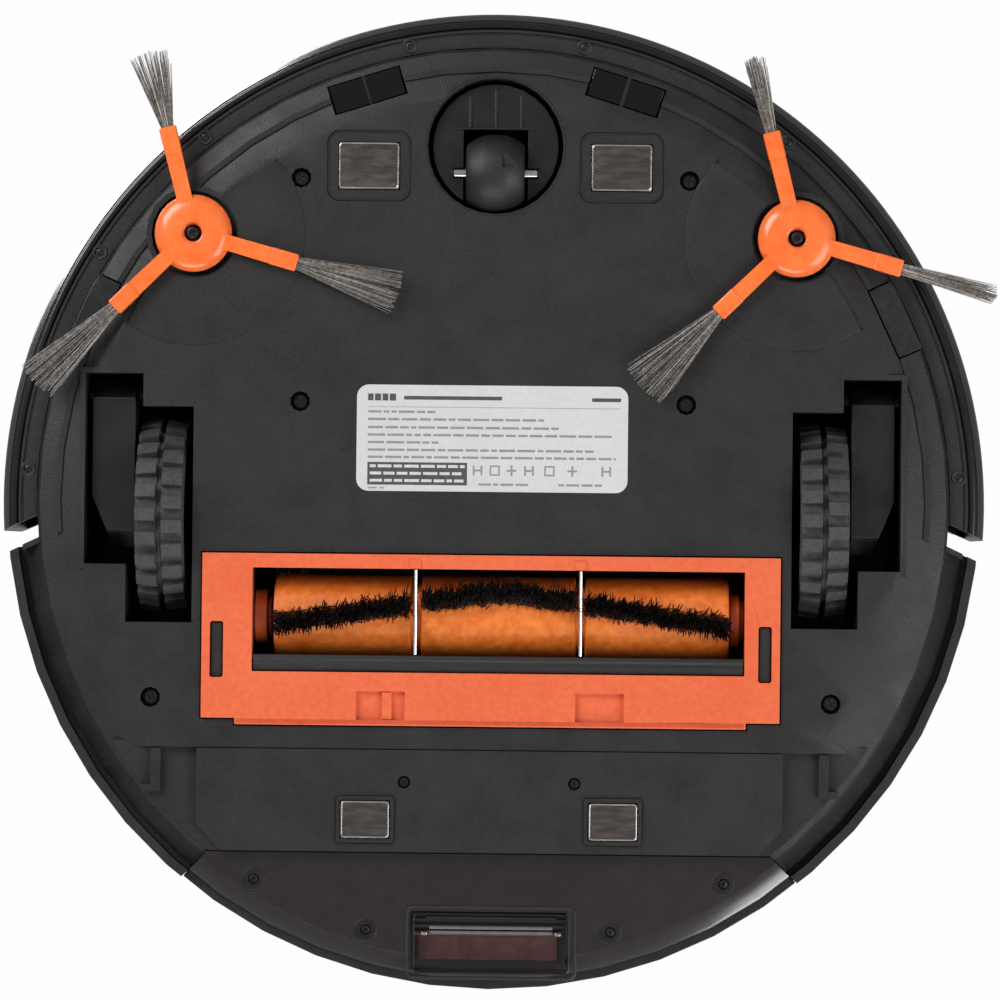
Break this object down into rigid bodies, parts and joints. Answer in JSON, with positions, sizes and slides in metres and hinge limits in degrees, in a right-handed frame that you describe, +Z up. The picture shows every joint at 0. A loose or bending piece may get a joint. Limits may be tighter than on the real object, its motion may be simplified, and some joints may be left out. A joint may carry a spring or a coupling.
{
  "type": "robot vacuum",
  "caption": "Round floor-cleaning robot with a sprung bumper, laser turret, side brushes, a bristle roller behind a lift-off cover, sprung drive wheels, a caster and a slide-out dust bin.",
  "frame": {"origin": "on the floor, under the middle of the round body", "axes": "+Z up; -Y towards the front bumper, +Y towards the dust bin; +X is the right-hand side brush's side"},
  "size_m": [0.3326, 0.328, 0.0965],
  "materials": {
    "black_shell": "finely textured moulded ABS",
    "black_gloss": "polished ABS",
    "black_part": "plain moulded ABS",
    "orange_gloss": "satin moulded ABS",
    "orange_rubber": "soft moulded rubber",
    "bristle_grey": "nylon filament",
    "bristle_black": "nylon filament",
    "tyre": "moulded rubber tread",
    "dark_rubber": "moulded rubber",
    "smoky_plastic": "smoky see-through polycarbonate",
    "steel": "bright steel",
    "cell_wrap": "shrink wrap",
    "circuit_board": "solder mask",
    "filter_paper": "pleated filter paper",
    "label_film": "printed polyester film",
    "screw_black": "black zinc"
  },
  "bodies": {
    "root": {"chassis": "black_shell", "top_shell": "black_shell", "top_panel": "black_gloss", "lidar_base": "black_part", "turret_cap": "black_gloss", "lidar_belt": "dark_rubber", "cliff_window_front_left": "black_gloss", "cliff_window_front_right": "black_gloss", "cliff_window_side_left": "black_gloss", "cliff_window_side_right": "black_gloss", "front_contact_left": "steel", "front_contact_right": "steel", "rear_contact_left": "steel", "rear_contact_right": "steel", "rear_plate": "black_shell", "side_gearbox_left": "black_part", "side_gearbox_right": "black_part", "blower_housing": "black_part", "battery_pack": "cell_wrap", "main_board": "circuit_board", "wheel_housing_left": "black_part", "wheel_housing_right": "black_part", "brush_housing": "black_part", "bin_bay": "black_part"},
    "bumper": {"bumper_shell": "black_shell", "bumper_trim": "black_shell"},
    "lidar_head": {"lidar_rotor": "black_part"},
    "lidar_drive": {"lidar_pulley": "steel"},
    "wheel_module_left": {"wheel_arm_left": "black_part"},
    "wheel_module_right": {"wheel_arm_right": "black_part"},
    "drive_wheel_left": {"tyre_left": "tyre", "wheel_rim_left": "black_part"},
    "drive_wheel_right": {"tyre_right": "tyre", "wheel_rim_right": "black_part"},
    "sweeper_left": {"side_brush_left": "orange_gloss", "tuft_left_1": "bristle_grey", "tuft_left_2": "bristle_grey", "tuft_left_3": "bristle_grey"},
    "sweeper_right": {"side_brush_right": "orange_gloss", "tuft_right_1": "bristle_grey", "tuft_right_2": "bristle_grey", "tuft_right_3": "bristle_grey"},
    "caster": {"caster_fork": "black_part"},
    "caster_roller": {"caster_wheel": "dark_rubber"},
    "main_brush": {"roller_core": "orange_rubber", "bristle_row_1": "bristle_black", "bristle_row_2": "bristle_black", "bristle_row_3": "bristle_black"},
    "cover": {"brush_cover": "orange_gloss", "guard_wire_left": "steel", "guard_wire_right": "steel", "scraper_lip": "dark_rubber"},
    "dust_bin": {"bin_base": "smoky_plastic", "bin_cover": "black_shell", "bin_filter": "filter_paper"},
    "port_flap": {"bin_flap": "dark_rubber"},
    "latch": {"bin_latch": "black_gloss"},
    "power_key": {"power_button": "black_gloss"},
    "home_key": {"home_button": "black_gloss"},
    "fan": {"impeller": "black_part"}
  },
  "joints": [
    {"name": "bumper_push", "type": "slide", "parent": "root", "child": "bumper", "axis": [0, 1, 0], "range_m": [0, 0.0045], "stiffness_N_per_m": 400},
    {"name": "lidar_spin", "type": "hinge", "parent": "root", "child": "lidar_head", "pos_m": [0, 0.014, 0.07], "axis": [0, 0, 1], "continuous": true},
    {"name": "lidar_pulley_spin", "type": "hinge", "parent": "root", "child": "lidar_drive", "pos_m": [0, -0.046, 0.07], "axis": [0, 0, 1], "continuous": true},
    {"name": "wheel_left_drop", "type": "hinge", "parent": "root", "child": "wheel_module_left", "pos_m": [-0.1267, -0.036, 0.026], "axis": [1, 0, 0], "range_deg": [-20, 0], "stiffness_Nm_per_rad": 0.4, "springref_deg": -20.05},
    {"name": "wheel_right_drop", "type": "hinge", "parent": "root", "child": "wheel_module_right", "pos_m": [0.1267, -0.036, 0.026], "axis": [1, 0, 0], "range_deg": [-20, 0], "stiffness_Nm_per_rad": 0.4, "springref_deg": -20.05},
    {"name": "wheel_left_spin", "type": "hinge", "parent": "wheel_module_left", "child": "drive_wheel_left", "pos_m": [-0.1106, 0.0048, 0.033], "axis": [1, 0, 0], "continuous": true},
    {"name": "wheel_right_spin", "type": "hinge", "parent": "wheel_module_right", "child": "drive_wheel_right", "pos_m": [0.1106, 0.0048, 0.033], "axis": [1, 0, 0], "continuous": true},
    {"name": "side_brush_left_spin", "type": "hinge", "parent": "root", "child": "sweeper_left", "pos_m": [-0.1004, -0.089, 0.006], "axis": [0, 0, 1], "continuous": true},
    {"name": "side_brush_right_spin", "type": "hinge", "parent": "root", "child": "sweeper_right", "pos_m": [0.1004, -0.089, 0.006], "axis": [0, 0, 1], "continuous": true},
    {"name": "caster_swivel", "type": "hinge", "parent": "root", "child": "caster", "pos_m": [0, -0.119, 0.045], "axis": [0, 0, 1], "continuous": true},
    {"name": "caster_roll", "type": "hinge", "parent": "caster", "child": "caster_roller", "pos_m": [0, -0.1102, 0.013], "axis": [1, 0, 0], "continuous": true},
    {"name": "roller_spin", "type": "hinge", "parent": "root", "child": "main_brush", "pos_m": [0, 0.0384, 0.026], "axis": [1, 0, 0], "continuous": true},
    {"name": "cover_lift_off", "type": "slide", "parent": "root", "child": "cover", "axis": [0, 0, -1], "range_m": [0, 0.03]},
    {"name": "bin_pull", "type": "slide", "parent": "root", "child": "dust_bin", "axis": [0, 1, 0], "range_m": [0, 0.09]},
    {"name": "port_flap_swing", "type": "hinge", "parent": "dust_bin", "child": "port_flap", "pos_m": [0, 0.1435, 0.0166], "axis": [1, 0, 0], "range_deg": [-60, 0], "stiffness_Nm_per_rad": 0.01, "springref_deg": 11.46},
    {"name": "bin_latch_press", "type": "slide", "parent": "dust_bin", "child": "latch", "axis": [0, -1, 0], "range_m": [0, 0.002], "stiffness_N_per_m": 800},
    {"name": "power_press", "type": "slide", "parent": "root", "child": "power_key", "axis": [0, 0, -1], "range_m": [0, 0.0008], "stiffness_N_per_m": 1500},
    {"name": "home_press", "type": "slide", "parent": "root", "child": "home_key", "axis": [0, 0, -1], "range_m": [0, 0.0008], "stiffness_N_per_m": 1500},
    {"name": "fan_spin", "type": "hinge", "parent": "root", "child": "fan", "pos_m": [0.066, 0.05, 0.06], "axis": [0, 0, 1], "continuous": true}
  ],
  "couplings": [
    {"joint": "lidar_pulley_spin", "follows": "lidar_spin", "ratio": 7.6}
  ]
}
